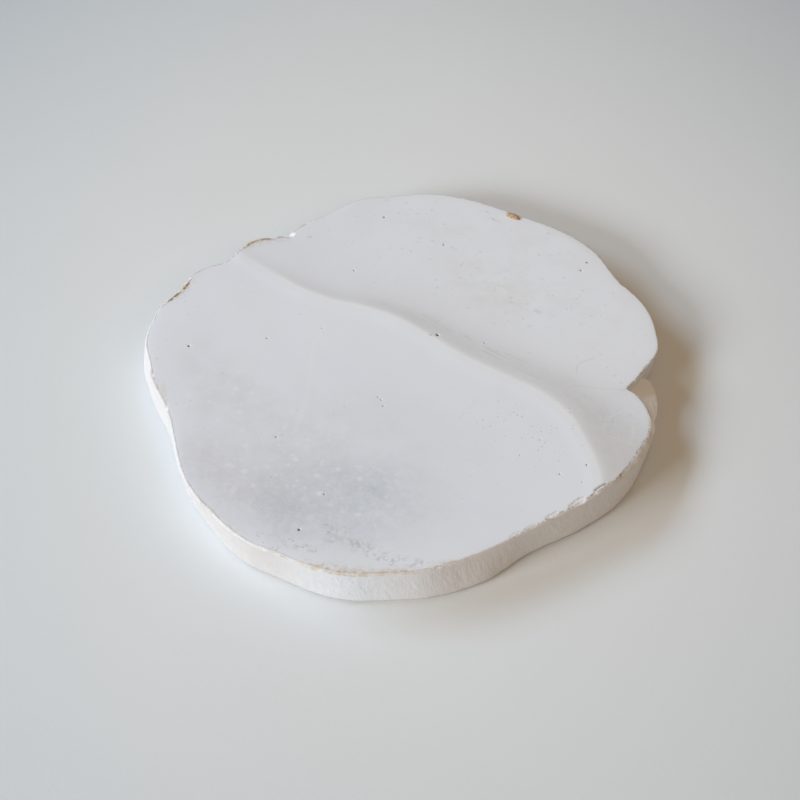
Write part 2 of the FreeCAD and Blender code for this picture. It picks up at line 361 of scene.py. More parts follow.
class Slab:
    """The whole casting's surface: plan points go in, shaped points and masks come out."""

    def __init__(self):
        self.outline = Outline()
        self.crack, self.crack_first, self.crack_last = self.crack_line()
        self.rim_height = self.unchipped(self.outline.rim)[0][:, 2]

    def crack_line(self):
        """From the notch down the arc, then out along the line to the rim."""
        arc = smooth_line(CRACK_ARC, 0.4)
        last = resample(np.array([arc[-1], CRACK_LINE_END], float), 0.4)[1:]
        line = np.vstack([arc, last])
        wobble = 0.25 * WARP.at(line, 3.0) + 0.1 * WARP.at(line + 9, 1.0)
        line = line + np.column_stack([wobble, -wobble])
        rim = self.outline.rim
        gap = np.linalg.norm(line[:, None, :] - rim[None], axis=2)
        steps = np.arange(len(line))
        within = np.linalg.norm(line, axis=1) < np.linalg.norm(rim[gap.argmin(1)], axis=1)
        end = np.argmax(~within & (steps > len(line) // 2))
        keep = within & (gap.min(1) > 0.35) & (steps < end)
        return line[keep], gap[0].argmin(), gap[end].argmin()

    def chip(self, points):
        """Pushes points inside a chip down and in, on to its rough hollow surface."""
        chipped, edge = np.zeros((2, len(points)))
        rough = GRAIN.fractal(points, 2.2, 3)
        for (x, y), long, deep, drop in CHIPS:
            near = np.flatnonzero(np.hypot(points[:, 0] - x, points[:, 1] - y) < 2 * long + 3)
            if not len(near):
                continue
            index = self.outline.near.look(np.array([[x, y]]))[2][0]
            out = np.append(self.outline.outward[index], 0)
            side = np.array([-out[1], out[0], 0])
            top = relief(np.array([[x, y]]))[0][0]
            axes = np.array([side / long, out / deep, [0, 0, 1 / drop]])
            local = (points[near] - [x, y, top]) @ axes.T
            local *= (1 + 0.22 * rough[near])[:, None]
            way = -out * 0.5 - np.array([0, 0, 0.86])
            push = axes @ way
            inner = (local**2).sum(1)
            ahead = local @ push
            size = (push**2).sum()
            root = np.sqrt(np.maximum(ahead**2 - size * (inner - 1), 0))
            move = np.where(inner < 1, (root - ahead) / size, 0)
            points[near] += np.outer(move, way)
            chipped[near] = np.maximum(chipped[near], np.clip(move / 0.5, 0, 1))
            # The inner rim of the chip, where a painted shadow goes.
            ring = hump(np.sqrt(inner), 1, 0.08) * (local[:, 2] > -0.5)
            ring = ring * smoothstep(0.2, -0.4, local[:, 1])
            edge[near] = np.maximum(edge[near], ring)
        return chipped, edge

    def unchipped(self, plan):
        height, across, along = relief(plan)
        _, _, rim_index, inset = self.outline.near.look(plan)
        angle = self.outline.angle[rim_index]
        ragged = 1 + 0.50 * GRAIN.fractal(plan, 7, 3) + 0.14 * WARP.at(plan, 2.2)
        width = around_rim(angle, 1) * np.clip(ragged, 0.25, 2)
        deep = around_rim(angle, 2) * (1 + 0.4 * GRAIN.at(plan, 3.1))
        broken = np.clip(1 - inset / width, 0, 1)
        height = height - deep * broken**1.3 * (1 + 0.2 * WARP.at(plan, 1.8))
        height = height - 0.25 * np.exp(-inset / 2.2)
        edge_darkness = around_rim(angle, 3)
        dark_edge = hump(inset, width, 0.18 + 0.18 * edge_darkness**2) * edge_darkness
        masks = {
            "across": across, "along": along, "inset": inset,
            "broken": smoothstep(0, 0.25, broken), "skin_edge": dark_edge,
        }
        return np.column_stack([plan, height]), masks

    def shape(self, plan):
        """The face at plan points: positions in space and a dict of masks."""
        points, masks = self.unchipped(plan)
        masks["pit"] = np.zeros(len(plan))
        for (x, y), radius, depth in PITS:
            gap = np.hypot(plan[:, 0] - x, plan[:, 1] - y)
            hole = 1 - smoothstep(0.55, 1.1, gap / radius)
            points[:, 2] -= depth * hole
            masks["pit"] = np.maximum(masks["pit"], hole)
        for line, width, depth in SLITS:
            open_part = stroke(plan, line, width)
            points[:, 2] -= depth * open_part
            masks["pit"] = np.maximum(masks["pit"], 0.8 * open_part)
        masks["chipped"], masks["chip_edge"] = self.chip(points)
        return points, masks

    def wall(self, height):
        """One ring of the wall, at a height for each point of the rim."""
        outline = self.outline
        ring = np.column_stack([outline.at(height), height])
        swell = SWELL * GRAIN.fractal(ring, 11, 3)
        slant = ring * [1, 1, 0.35] + np.outer(height, [0.5, 0, 0])
        scrape = SCRAPE * WARP.fractal(slant, 1.6, 2)
        share = height / self.rim_height
        fade = smoothstep(0, 0.06, share) * smoothstep(0, 0.08, 1 - share)
        turn = np.degrees(outline.angle) % 360
        worn = FOOT_WEAR * hump(height, 0, FOOT_HEIGHT) * (1 + 0.9 * smoothstep(265, 300, turn))
        ring[:, :2] += outline.outward * ((swell + scrape) * fade - worn)[:, None]
        chipped, edge = self.chip(ring)
        # Painted light and shade: pale is 0 on the side toward the windows, which takes a darker
        # colour, and 1 on the shaded side, which takes a lighter one; front marks the front,
        # painted lighter still.
        shade_side_ramp = 0.6 * smoothstep(230, 258, turn) + 0.4 * smoothstep(275, 305, turn)
        pale = 1 - smoothstep(95, 150, turn) * (1 - shade_side_ramp)
        front = hump(turn, 263, 11)
        return ring, {"chipped": chipped, "chip_edge": edge, "pale": pale, "front": front}


# ---- patches and marks
# Soft patches on the face: middle, half length, half width, turn in degrees, strength.  The
# crusts are old slip, seen as clusters of crumbly marks.
PATCHES = {
    "damp": [
        (-18, -80, 28, 16, 8, 0.52), (-46, -84, 16, 9, -8, 0.55), (-8, -70, 20, 13, 15, 0.35),
        (12, -84, 16, 10, 0, 0.15), (-12, -94, 20, 11, 0, 0.25), (-34, -98, 26, 7, -8, 0.35),
        (-30, -64, 18, 10, 0, 0.35), (98, -34, 10, 14, 20, 0.34)],
    "dusk": [
        (-72, -69, 24, 14, -35, 0.46), (-46, -80, 17, 9, -8, 0.5), (-52, -66, 28, 14, -12, 0.4),
        (-82, -56, 14, 14, 0, 0.3), (-45, -83, 11, 5, -12, 0.45)],
    "mottle": [
        (-90, 8, 9, 20, 15, 0.45), (-77, -14, 12, 22, 35, 0.7), (-62, -32, 24, 15, -35, 0.8),
        (-40, -55, 34, 22, 0, 0.8), (-86, -40, 14, 30, 20, 0.4), (-10, -30, 24, 20, 0, 0.4)],
    "bloom": [
        (-50, -58, 34, 22, -15, 1), (-18, -62, 26, 18, 0, 0.8), (-74, -18, 18, 26, 20, 0.9),
        (-14, -84, 20, 12, 0, 0.7)],
    "far_stain": [
        (48, 52, 34, 24, -25, 1), (76, 80, 20, 18, -35, 0.6), (20, 96, 44, 10, -5, 0.5),
        (98, 34, 18, 22, 0, 0.5)],
    "pores": [
        (44, -36, 20, 14, -20, 1), (64, -46, 16, 16, 0, 1), (34, -58, 18, 12, 0, 0.5),
        (74, -36, 8, 10, 0, 0.8), (-64, -28, 10, 8, 0, 0.4), (90, -32, 8, 12, 0, 0.5)],
    "crust": [
        (-24, -98, 12, 4, -35, 0.62), (-8, -106, 12, 3.6, -25, 0.66),
        (-46, -101, 10, 3.6, -30, 0.58), (8, -111, 8, 2.4, -5, 0.6),
        (-29.5, -94.5, 1, 2.6, 10, 1), (-30, -100.2, 2, 1, -20, 1),
        (-26.4, -102, 2.2, 1, -30, 0.9), (-21.6, -95, 2.4, 0.9, -35, 0.9),
        (-15.8, -105.2, 3, 1.9, -25, 1.2), (-11, -108.4, 3.4, 1.3, -35, 1.1),
        (-4.2, -111.6, 3.4, 1.6, -30, 0.9), (6.6, -113.2, 3, 1.2, 10, 0.8),
        (-56, -98, 2.8, 1.5, -45, 0.8), (-50, -104.6, 3, 1.6, -35, 0.8),
        (-44, -100.6, 2, 1.2, -30, 0.6), (-38.4, -104, 2.6, 1.3, 5, 1),
        (-34.6, -105.6, 2.2, 1.3, 10, 1), (18.4, -111.6, 2.2, 1, 15, 0.8),
        (37.1, 42.6, 3, 1.2, -20, 0.5), (51, 41.4, 2.6, 1.8, -30, 0.6),
        (56.4, 38.8, 3, 1.8, -30, 0.6), (63, 35.4, 3.6, 2.2, -25, 0.6),
        (69.5, 32.4, 3, 2, -20, 0.5), (82.2, 44.2, 0.8, 3.2, -35, 1), (84.7, 63, 1.6, 1.4, 0, 1),
        (88.9, 68.6, 1.3, 1.1, 0, 1.1), (83, 27, 2.6, 1.4, -20, 0.7), (21.6, 82, 1.5, 1.7, 0, 1),
        (23.2, 91.4, 1.2, 1.8, 0, 0.8), (36.2, 72.8, 1.2, 2, 0, 0.8),
        (36.4, 64.4, 1.5, 1.4, 0, 0.8), (46.7, 52.7, 3.4, 1.6, -20, 0.8),
        (54, 59.6, 3, 1.6, -10, 0.7), (39, 54.6, 2.4, 1.6, 0, 0.7),
        (24.4, 102.5, 2.4, 1, 10, 0.8), (41.5, 104.7, 2.8, 1.6, -15, 0.9),
        (3, 102.5, 2.2, 1.4, 10, 0.7), (46, 99.6, 4, 1.6, -40, 0.8), (-43, 84.6, 1.4, 2, -20, 1),
        (-58, 84, 2.4, 1.6, -20, 0.9), (-94.4, 10.4, 1.8, 2.2, 0, 0.6),
        (14, 16.6, 1.5, 1, 0, 0.9), (-109.6, -7, 2.6, 1.6, 10, 0.9),
        (-104.6, -18.2, 1.4, 1.4, 0, 1), (-108, 2, 0.8, 1.6, 0, 0.8),
        (27.2, -94, 1.6, 1.4, 0, 0.7), (-45.4, 30, 1.4, 1, 0, 0.7), (-52.6, 33, 0.9, 0.9, 0, 0.6)]}
# Stains at the front rim and at the left and back rims, and larger bloom spots, in the same terms.
FRONT_STAINS = [
    (-26, -115, 14, 4, -4, 1.3), (0, -116, 12, 2.5, 0, 0.7), (20, -112, 8, 2, 12, 0.6)]
SIDE_STAINS = [
    (-104, -18, 4, 12, 10, 0.6), (-76, -86, 18, 3, -42, 0.3), (-101, 47, 9, 9, 0, 1.2),
    (-66, 80, 12, 6, 0, 1.2)]
STAIN_REACH = 4.2
BLOOM_SPOTS = [
    (-37.6, -46, 2.9, 2.3, 0, 0.9), (-28.8, -58.3, 3.2, 2.4, 20, 0.8),
    (-64.9, -57.8, 3, 2.4, 0, 0.8), (-51.9, -57.8, 2.6, 2.4, 0, 0.8),
    (-43.7, -73.1, 3, 2.2, 10, 0.9), (-33.7, -76.3, 2.2, 1.6, 0, 0.8),
    (-14.3, -49.4, 2.6, 2, 0, 0.7), (-58, -66, 1.8, 1.4, 0, 0.7)]
# Lines on the face: points, half width, strength.
STROKES = {
    "mark": [
        ([(76.8, -13), (88, -14.2), (99.1, -14.6)], 0.3, 0.14),
        ([(78.1, -5), (79, 0), (81.2, 2.6), (86.9, 5)], 0.28, 0.22)],
    "scratch": [
        ([(-33.8, 23.1), (-38.4, 10), (-39.8, -8), (-41, -26), (-45, -42)], 0.9, 0.3),
        ([(86.5, -42.4), (94, -45.2), (102.2, -48.1)], 0.35, 1),
        ([(100.2, -33.7), (99.9, -40), (98.1, -46.4)], 0.35, 0.7),
        ([(87, -42.6), (87.4, -37.6), (89.8, -32.6), (93, -29.8), (96.2, -27.6)], 0.45, 0.8)]}
# How uneven a soft patch's edge is.
BLOB_UNEVEN = 0.35
MASKS = (
    "across", "along", "inset", "broken", "skin_edge", "pit", "chipped", "chip_edge", "wall",
    "rim_stain", "crest", "ditch", "pale", "front", *PATCHES, *STROKES,
)


def blob(plan, x, y, long, wide, turn):
    """A soft patch, 1 in the middle, with an uneven edge."""
    turn = math.radians(turn)
    dx, dy = plan[:, 0] - x, plan[:, 1] - y
    u = (dx * math.cos(turn) + dy * math.sin(turn)) / long
    v = (dy * math.cos(turn) - dx * math.sin(turn)) / wide
    reach = np.hypot(u, v) * (1 + BLOB_UNEVEN * GRAIN.fractal(plan, 0.6 * wide, 3))
    return np.exp(-(reach**2))


def stroke(plan, points, width):
    gap = NearLine(resample(np.array(points, float), 0.3)).look(plan)[3]
    return hump(gap, 0, width)


def patches(plan, rows):
    """Many soft patches summed: x, y, half length, half width, turn and strength of each."""
    return np.clip(sum(row[5] * blob(plan, *row[:5]) for row in rows), 0, 1)


def paint(plan, masks):
    """Where the face is damp, mottled, bloomed, stained or marked, with painted shade in the
    step's hollow and a painted highlight along its crest.
    """
    for key, rows in PATCHES.items():
        masks[key] = patches(plan, rows)
    masks["bloom"] = np.maximum(masks["bloom"], 2.2 * patches(plan, BLOOM_SPOTS))
    across, along = masks["across"], masks["along"]
    share = along / CREST_LENGTH
    # Painted shade in the hollow below the crest, wider and deeper towards the right.
    reach = 4.0 + 7.0 * smoothstep(0.45, 0.85, share)
    ditch = hump(across, 2.6 + 0.35 * reach, reach) * smoothstep(-2, 1.5, across)
    deeper = 1 + 0.8 * smoothstep(0.65, 0.85, share)
    masks["ditch"] = ditch * smoothstep(0.06, 0.35, share) * deeper
    stain = np.clip(patches(plan, FRONT_STAINS) + patches(plan, SIDE_STAINS), 0, 1)
    masks["rim_stain"] = stain * hump(masks["inset"], 0, STAIN_REACH)
    for key, lines in STROKES.items():
        masks[key] = np.max([strength * stroke(plan, points, width)
                             for points, width, strength in lines], axis=0)
    # Painted highlight along the crest of the step.
    masks["crest"] = hump(across, -2.2, 1.4) * smoothstep(0.04, 0.20, share)


# ---- meshes
# How far each lip of the crack draws back and is worn down, and how far the loose corner has sunk.
CRACK_BACK, CRACK_WEAR, CORNER_SINK = 0.008, 0.006, 0.012
# Point spacing on the bases of the coat, the pour and the wedge, and how far the pour's hidden
# top lies under the coat.
COAT_BASE_STEP, BODY_BASE_STEP, FLASH_BASE_STEP = 6, 3, 2
HIDDEN_GAP = 0.1
# The crumb's half lengths, its turn in degrees, and how far it is pressed into the rim.
CRUMB_SIZE, CRUMB_TURN, CRUMB_SINK = [3.7, 1.6, 1.6], -28, 0.3


def hex_grid(step, low, high):
    rows = np.arange(low[1], high[1], step * math.sqrt(3) / 2)
    columns = np.arange(low[0], high[0], step)
    x, y = np.meshgrid(columns, rows)
    x = x + (np.arange(len(rows)) % 2)[:, None] * step / 2
    return np.column_stack([x.ravel(), y.ravel()])


def triangulate(border, inner, cuts=()):
    """Fills a border with triangles through the inner points. Returns points and faces."""
    edges = []
    loose = [border, inner]
    start = len(border) + len(inner)
    for first, line, last in cuts:
        steps = [first, *range(start, start + len(line)), last]
        edges += list(zip(steps, steps[1:]))
        loose.append(line)
        start += len(line)
    points = np.vstack(loose)
    made, _, filled, origins, _, _ = delaunay_2d_cdt(
        [Vector(p) for p in points], edges, [list(range(len(border)))], 1, 1e-7)
    where = np.full(len(points), -1)
    for new, old in enumerate(origins):
        where[old] = new
    back = np.full(len(made), -1)
    back[where[where >= 0]] = np.flatnonzero(where >= 0)
    faces = back[np.array(filled)]
    return points, faces[(faces >= 0).all(1)]


def inside(loop, points):
    """Which points lie inside a closed loop."""
    result = np.zeros(len(points), bool)
    for (x0, y0), (x1, y1) in zip(loop, np.roll(loop, -1, axis=0)):
        spans = (y0 > points[:, 1]) != (y1 > points[:, 1])
        if spans.any():
            cross = x0 + (points[:, 1] - y0) * (x1 - x0) / (y1 - y0 if y1 != y0 else 1e-9)
            result ^= spans & (points[:, 0] < cross)
    return result


def inner_points(slab):
    """Plan points inside the rim: close together where the surface has detail."""
    low, high = slab.outline.rim.min(0), slab.outline.rim.max(0)
    chosen = []
    for step in (FINE, MEDIUM, COARSE):
        grid = hex_grid(step, low, high)
        across, _, _, gap = slab.outline.near.look(grid)
        keep = (across > 0) & (gap > 0.55 * RIM_STEP)
        grid, gap = grid[keep], gap[keep]
        step_across = CREST_LINE.look(grid)[0]
        crack_gap = NearLine(slab.crack).look(grid)[3]
        want = np.full(len(grid), COARSE)
        want[(step_across > -6) & (step_across < 20)] = MEDIUM
        want[(gap < 5) | (crack_gap < 1.5)] = FINE
        # The front edge and the notch are fine as well.
        x, y = grid.T
        want[(gap < 16) & (y < -88) & (x < 12)] = FINE
        want[(x > 74) & (y < 8) & (y > -54)] = FINE
        keep = (want == step) & (crack_gap > 0.25)
        for (x, y), radius, _ in PITS:
            keep &= np.hypot(grid[:, 0] - x, grid[:, 1] - y) > 1.6 * radius
        chosen.append(grid[keep])
    for (x, y), radius, _ in PITS:
        chosen.append(np.array([[x, y]]))
        for share, count in ((0.35, 6), (0.7, 10), (1, 14), (1.35, 16)):
            turn = np.arange(count) * 2 * math.pi / count + share
            chosen.append(np.column_stack([x + share * radius * np.cos(turn),
                                           y + share * radius * np.sin(turn)]))
    return np.vstack(chosen)


def new_mesh(name, points, faces, masks):
    mesh = bpy.data.meshes.new(name)
    mesh.from_pydata((np.asarray(points) * MM).tolist(), [], faces)
    for key, values in masks.items():
        layer = mesh.attributes.new(key, "FLOAT", "POINT")
        layer.data.foreach_set("value", np.asarray(values, np.float32))
    mesh.shade_smooth()
    mesh.set_sharp_from_angle(angle=math.radians(55))
    piece = bpy.data.objects.new(name, mesh)
    bpy.context.scene.collection.objects.link(piece)
    return piece


def close_up(name, top, top_masks, faces, loop, rows, row_masks, base_step):
    """A closed piece: a shaped top, rows of wall below its border, and a flat base."""
    count = len(loop)
    border = rows[-1][:, :2]
    grid = hex_grid(base_step, border.min(0), border.max(0))
    near = NearLine(border, closed=True)
    across, _, _, gap = near.look(grid)
    base, base_faces = triangulate(border, grid[(across > 0) & (gap > 0.6 * base_step)])
    base = base[count:]
    lowest = rows[-1][:, 2]
    index = near.look(base)[2] if len(base) else np.zeros(0, int)
    base = np.column_stack([base, lowest[index]])
    starts = len(top) + count * np.arange(len(rows))
    quads = []
    above = np.asarray(loop)
    for start in starts:
        below = start + np.arange(count)
        quads.append(np.column_stack([below, np.roll(below, -1), np.roll(above, -1), above]))
        above = below
    at_base = base_faces + starts[-1]
    points = np.vstack([top, *rows, base])
    masks = {}
    for key in MASKS:
        parts = [top_masks.get(key, np.zeros(len(top)))]
        default = 1.0 if key == "wall" else 0.0
        parts += [m.get(key, np.full(count, default)) for m in row_masks]
        parts.append(np.full(len(base), default))
        masks[key] = np.concatenate(parts)
    all_faces = faces.tolist() + np.vstack(quads).tolist() + at_base[:, ::-1].tolist()
    return new_mesh(name, points, all_faces, masks)


def make_face(slab):
    """The face coat and its loose corner, cut from one triangulation so that the crack fits."""
    rim = slab.outline.rim
    count = len(rim)
    cut = (slab.crack_first, slab.crack, slab.crack_last)
    plan, faces = triangulate(rim, inner_points(slab), [cut])
    points, masks = slab.shape(plan)
    paint(plan, masks)
    masks["wall"] = np.clip(np.maximum(masks["broken"], masks["chipped"]), 0, 1)
    crack_ids = np.arange(len(plan) - len(slab.crack), len(plan))
    first, last = slab.crack_first, slab.crack_last
    corner_loop = [*range(last, first + 1), *crack_ids]
    coat_loop = [*range(first, count), *range(0, last + 1), *crack_ids[::-1]]
    middle = plan[faces].mean(1)
    in_corner = inside(plan[corner_loop], middle)
    pieces = []
    for name, loop, part, sink in (
            ("face_coat_worked", coat_loop, ~in_corner, 0),
            ("cracked_corner_flake", corner_loop, in_corner, CORNER_SINK)):
        used = np.unique(faces[part])
        renumber = np.full(len(plan), -1)
        renumber[used] = np.arange(len(used))
        top = points[used].copy()
        top[:, 2] -= sink
        top_masks = {key: values[used] for key, values in masks.items()}
        ring = renumber[loop]
        on_crack = np.array(loop) >= count
        picked = np.where(on_crack, 0, loop)
        crack_step = inward(top[ring][:, :2]) * (CRACK_BACK * on_crack)[:, None]
        top[ring, :2] += crack_step
        top[ring, 2] -= CRACK_WEAR * on_crack
        rows, row_masks = [], []
        for share in np.linspace(1, 0, COAT_ROWS + 1)[1:]:
            ring_points, ring_masks = slab.wall(slab.rim_height - COAT_DEPTH * (1 - share))
            straight = top[ring] * [1, 1, 0]
            straight[:, 2] = points[loop, 2] - COAT_DEPTH * (1 - share)
            rows.append(np.where(on_crack[:, None], straight, ring_points[picked]))
            row_masks.append({k: np.where(on_crack, 0, v[picked]) for k, v in ring_masks.items()})
        pieces.append(close_up(name, top, top_masks, renumber[faces[part]], ring, rows,
                               row_masks, COAT_BASE_STEP))
    return pieces


def inward(loop):
    ahead = np.roll(loop, -1, axis=0) - np.roll(loop, 1, axis=0)
    ahead /= np.maximum(np.linalg.norm(ahead, axis=1), 1e-9)[:, None]
    return np.column_stack([-ahead[:, 1], ahead[:, 0]])


def make_body(slab):
    """The thick pour under the coat: most of the wall, and the underside."""
    seam = slab.rim_height - COAT_DEPTH
    rows, row_masks = [], []
    for share in np.linspace(1, 0, BODY_ROWS + 1):
        ring, masks = slab.wall(seam * share)
        rows.append(ring)
        row_masks.append(masks)
    border = rows[0]
    grid = hex_grid(COAT_BASE_STEP, border[:, :2].min(0), border[:, :2].max(0))
    across, _, _, gap = NearLine(border[:, :2], closed=True).look(grid)
    plan, faces = triangulate(border[:, :2], grid[(across > 0) & (gap > 3.5)])
    height = relief(plan)[0] - COAT_DEPTH - HIDDEN_GAP
    height[:len(border)] = border[:, 2]
    top = np.column_stack([plan, height])
    loop = np.arange(len(border))
    masks = {"wall": np.ones(len(top))}
    for key, values in row_masks[0].items():
        masks[key] = np.append(values, np.zeros(len(top) - len(border)))
    return close_up("body_pour_cast", top, masks, faces, loop, rows[1:], row_masks[1:],
                    BODY_BASE_STEP)


def make_flash():
    """The low wedge in the foot of the notch: its root is sunk in the wall, its toe is free."""
    low, high = (np.array(corner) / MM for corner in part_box("notch_flash"))
    middle = (low + high) / 2
    toe = smooth_line([(low[0] - 4, low[1] - 6), (low[0] + 1.5, high[1] - 3),
                       (high[0] - 3.4, high[1] - 0.4), (high[0] - 1.2, high[1] - 7),
                       (high[0] - 0.3, middle[1]), (high[0] - 1.4, low[1] + 5),
                       (high[0] - 6, low[1] - 4)], 0.4)
    border = toe[::-1]
    grid = hex_grid(FINE, border.min(0), border.max(0))
    near = NearLine(border, closed=True)
    keep = inside(border, grid) & (near.look(grid)[3] > 0.3)
    plan, faces = triangulate(border, grid[keep])
    inset = near.look(plan)[3]
    inset[:len(border)] = 0
    height = flash_height(plan, low, high) - 0.4 * np.exp(-inset / 0.5)
    height += 0.12 * GRAIN.fractal(plan, 3, 4)
    top = np.column_stack([plan, height])
    rows = []
    for share in np.linspace(1, 0, FLASH_ROWS + 1)[1:]:
        ring = np.column_stack([border, FLASH_BASE + (top[:len(border), 2] - FLASH_BASE) * share])
        out = 0.4 * GRAIN.fractal(ring, 4, 3) * smoothstep(0, 0.2, 1 - share)
        ring[:, :2] -= inward(border) * (out - 0.5 * (1 - share))[:, None]
        rows.append(ring)
    # The wedge takes the chipped mask for the pale fresh colour: painted light on a wedge that
    # sits in the slab's shadow.
    masks = {"wall": np.ones(len(top)), "chipped": np.ones(len(top))}
    return close_up("notch_flash_wedge", top, masks, faces, np.arange(len(border)), rows,
                    [{}] * FLASH_ROWS, FLASH_BASE_STEP)


def flash_height(plan, low, high):
    """A ramp that climbs to the apex of the notch, with a thin ridge beside the near wall."""
    apex = np.array(CRACK_ARC[0])
    run = np.hypot(*(plan - apex).T) / np.hypot(*(np.array([high[0], high[1] - 8.0]) - apex))
    ramp = high[2] + FLASH_OVER - FLASH_FALL * np.clip(run, 0, 1.2)
    gap = NearLine(resample(np.array(FLASH_RIDGE), 0.3)).look(plan)
    ditch = 1.2 * smoothstep(0.4, -2, gap[0]) * (plan[:, 1] < apex[1] - 3)
    return ramp + RIDGE_HEIGHT * hump(gap[3], 0, RIDGE_WIDTH) - ditch


def make_crumb():
    """A crumb of dried clay, lumpy all over, pressed on to the back rim."""
    low, high = (np.array(corner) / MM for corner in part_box("clay_crumb"))
    ball = bmesh.new()
    bmesh.ops.create_icosphere(ball, subdivisions=5, radius=1.0)
    points = np.array([v.co for v in ball.verts])
    faces = [[v.index for v in face.verts] for face in ball.faces]
    ball.free()
    turn = math.radians(CRUMB_TURN)
    lump = 1 + 0.28 * GRAIN.fractal(points + 4, 0.8, 4) + 0.08 * WARP.fractal(points, 0.25, 2)
    points = points * lump[:, None] * CRUMB_SIZE
    x = points[:, 0] * math.cos(turn) - points[:, 1] * math.sin(turn)
    y = points[:, 0] * math.sin(turn) + points[:, 1] * math.cos(turn)
    middle = (low + high) / 2
    placed = np.column_stack([x + middle[0], y + middle[1], points[:, 2] + low[2] - CRUMB_SINK])
    return new_mesh("clay_crumb_lump", placed, faces, {})


# ---- materials
class Shader:
    """A node material, written as short expressions."""

    def __init__(self, name):
        self.material = bpy.data.materials.new(name)
        self.material.use_nodes = True
        self.nodes = self.material.node_tree.nodes
        self.links = self.material.node_tree.links
        self.surface = self.nodes["Principled BSDF"]
        self.place = self.nodes.new("ShaderNodeTexCoord").outputs["Object"]

    def put(self, value, socket):
        if isinstance(value, bpy.types.NodeSocket):
            self.links.new(value, socket)
        else:
            socket.default_value = value

    def node(self, kind, inputs, **settings):
        made = self.nodes.new(kind)
        for key, value in settings.items():
            setattr(made, key, value)
        for key, value in inputs.items():
            self.put(value, made.inputs[key])
        return made

    def mask(self, name):
        return self.node("ShaderNodeAttribute", {}, attribute_name=name).outputs["Fac"]

    def math(self, operation, first, second, clamp=False):
        inputs = {0: first, 1: second}
        return self.node("ShaderNodeMath", inputs, operation=operation, use_clamp=clamp).outputs[0]

    def times(self, first, *others):
        for other in others:
            first = self.math("MULTIPLY", first, other)
        return first

    def over(self, below, paint, *shares):
        """Paint laid over a colour, as thick as the shares multiplied together."""
        return self.mix(self.times(*shares), below, paint)

    def mix(self, share, first, second):
        made = self.node("ShaderNodeMix", {}, data_type="RGBA", clamp_factor=True)
        self.put(share, made.inputs[0])
        self.put(first, made.inputs[6])
        self.put(second, made.inputs[7])
        return made.outputs[2]

    def span(self, value, low, high, to_low=0.0, to_high=1.0):
        inputs = {"Value": value, "From Min": low, "From Max": high,
                  "To Min": to_low, "To Max": to_high}
        return self.node("ShaderNodeMapRange", inputs, interpolation_type="SMOOTHSTEP").outputs[0]

    def stretch(self, scale, source=None, turn=(0, 0, 0)):
        inputs = {"Vector": source or self.place, "Scale": scale, "Rotation": turn}
        return self.node("ShaderNodeMapping", inputs).outputs[0]

    def noise(self, pitch, detail=3.0, rough=0.5, source=None, warp=0.0):
        inputs = {"Vector": source or self.place, "Scale": 1 / (pitch * MM), "Detail": detail,
                  "Roughness": rough, "Distortion": warp}
        return self.node("ShaderNodeTexNoise", inputs).outputs["Fac"]

    def cells(self, pitch):
        inputs = {"Vector": self.place, "Scale": 1 / (pitch * MM)}
        return self.node("ShaderNodeTexVoronoi", inputs).outputs["Distance"]

    def bump(self, height, depth, strength, below=None):
        made = self.node("ShaderNodeBump", {"Height": height, "Distance": depth * MM,
                                            "Strength": strength})
        if below is not None:
            self.put(below, made.inputs["Normal"])
        return made.outputs[0]


WHITE = (0.779, 0.797, 0.862, 1)
WHITE_WARM = (0.782, 0.795, 0.842, 1)
WHITE_PALER = (0.838, 0.856, 0.905, 1)
CREST_HIGHLIGHT_AND_SCRATCH_WHITE = (0.872, 0.876, 0.884, 1)
WALL_LIT_SIDE_DARKENED = (0.652, 0.600, 0.576, 1)
WALL_SHADED_SIDE_LIGHTENED = (0.705, 0.690, 0.685, 1)
WALL_FRONT_LIGHTENED = (0.735, 0.750, 0.785, 1)
WALL_GREY = (0.670, 0.650, 0.648, 1)
DAMP = (0.560, 0.595, 0.655, 1)
FRESH_BREAK_AND_PAINTED_LIGHT = (0.920, 0.940, 0.970, 1)
DUSK = (0.632, 0.622, 0.662, 1)
MOTTLE = (0.690, 0.698, 0.742, 1)
BEIGE = (0.725, 0.722, 0.700, 1)
GREEN_GREY = (0.610, 0.640, 0.600, 1)
STEP_HOLLOW_SHADE = (0.600, 0.618, 0.625, 1)
OCHRE = (0.560, 0.430, 0.260, 1)
EDGE_BROWN = (0.250, 0.180, 0.100, 1)
RUST = (0.360, 0.190, 0.070, 1)
CRUST = (0.430, 0.400, 0.360, 1)
FOOT_CONTACT_SHADOW = (0.380, 0.270, 0.170, 1)
HAIRLINE = (0.360, 0.340, 0.320, 1)
PIT_SHADE = (0.110, 0.090, 0.080, 1)
CLAY_DARK, CLAY_LIGHT = (0.40, 0.24, 0.13, 1), (0.58, 0.42, 0.29, 1)
CLAY_DUST = (0.74, 0.66, 0.56, 1)
TABLE_DULL, TABLE_PALE = (0.792, 0.803, 0.812, 1), (0.807, 0.818, 0.827, 1)
TABLE_FALLOFF_SHADE = (0.340, 0.405, 0.475, 1)
# How fast the painted light falloff darkens the table away from the slab, and its spread along X
# and Y.
FALLOFF_SHADE_RATE = 0.22
FALLOFF_SPREAD = (5.0, 3.85, 0)


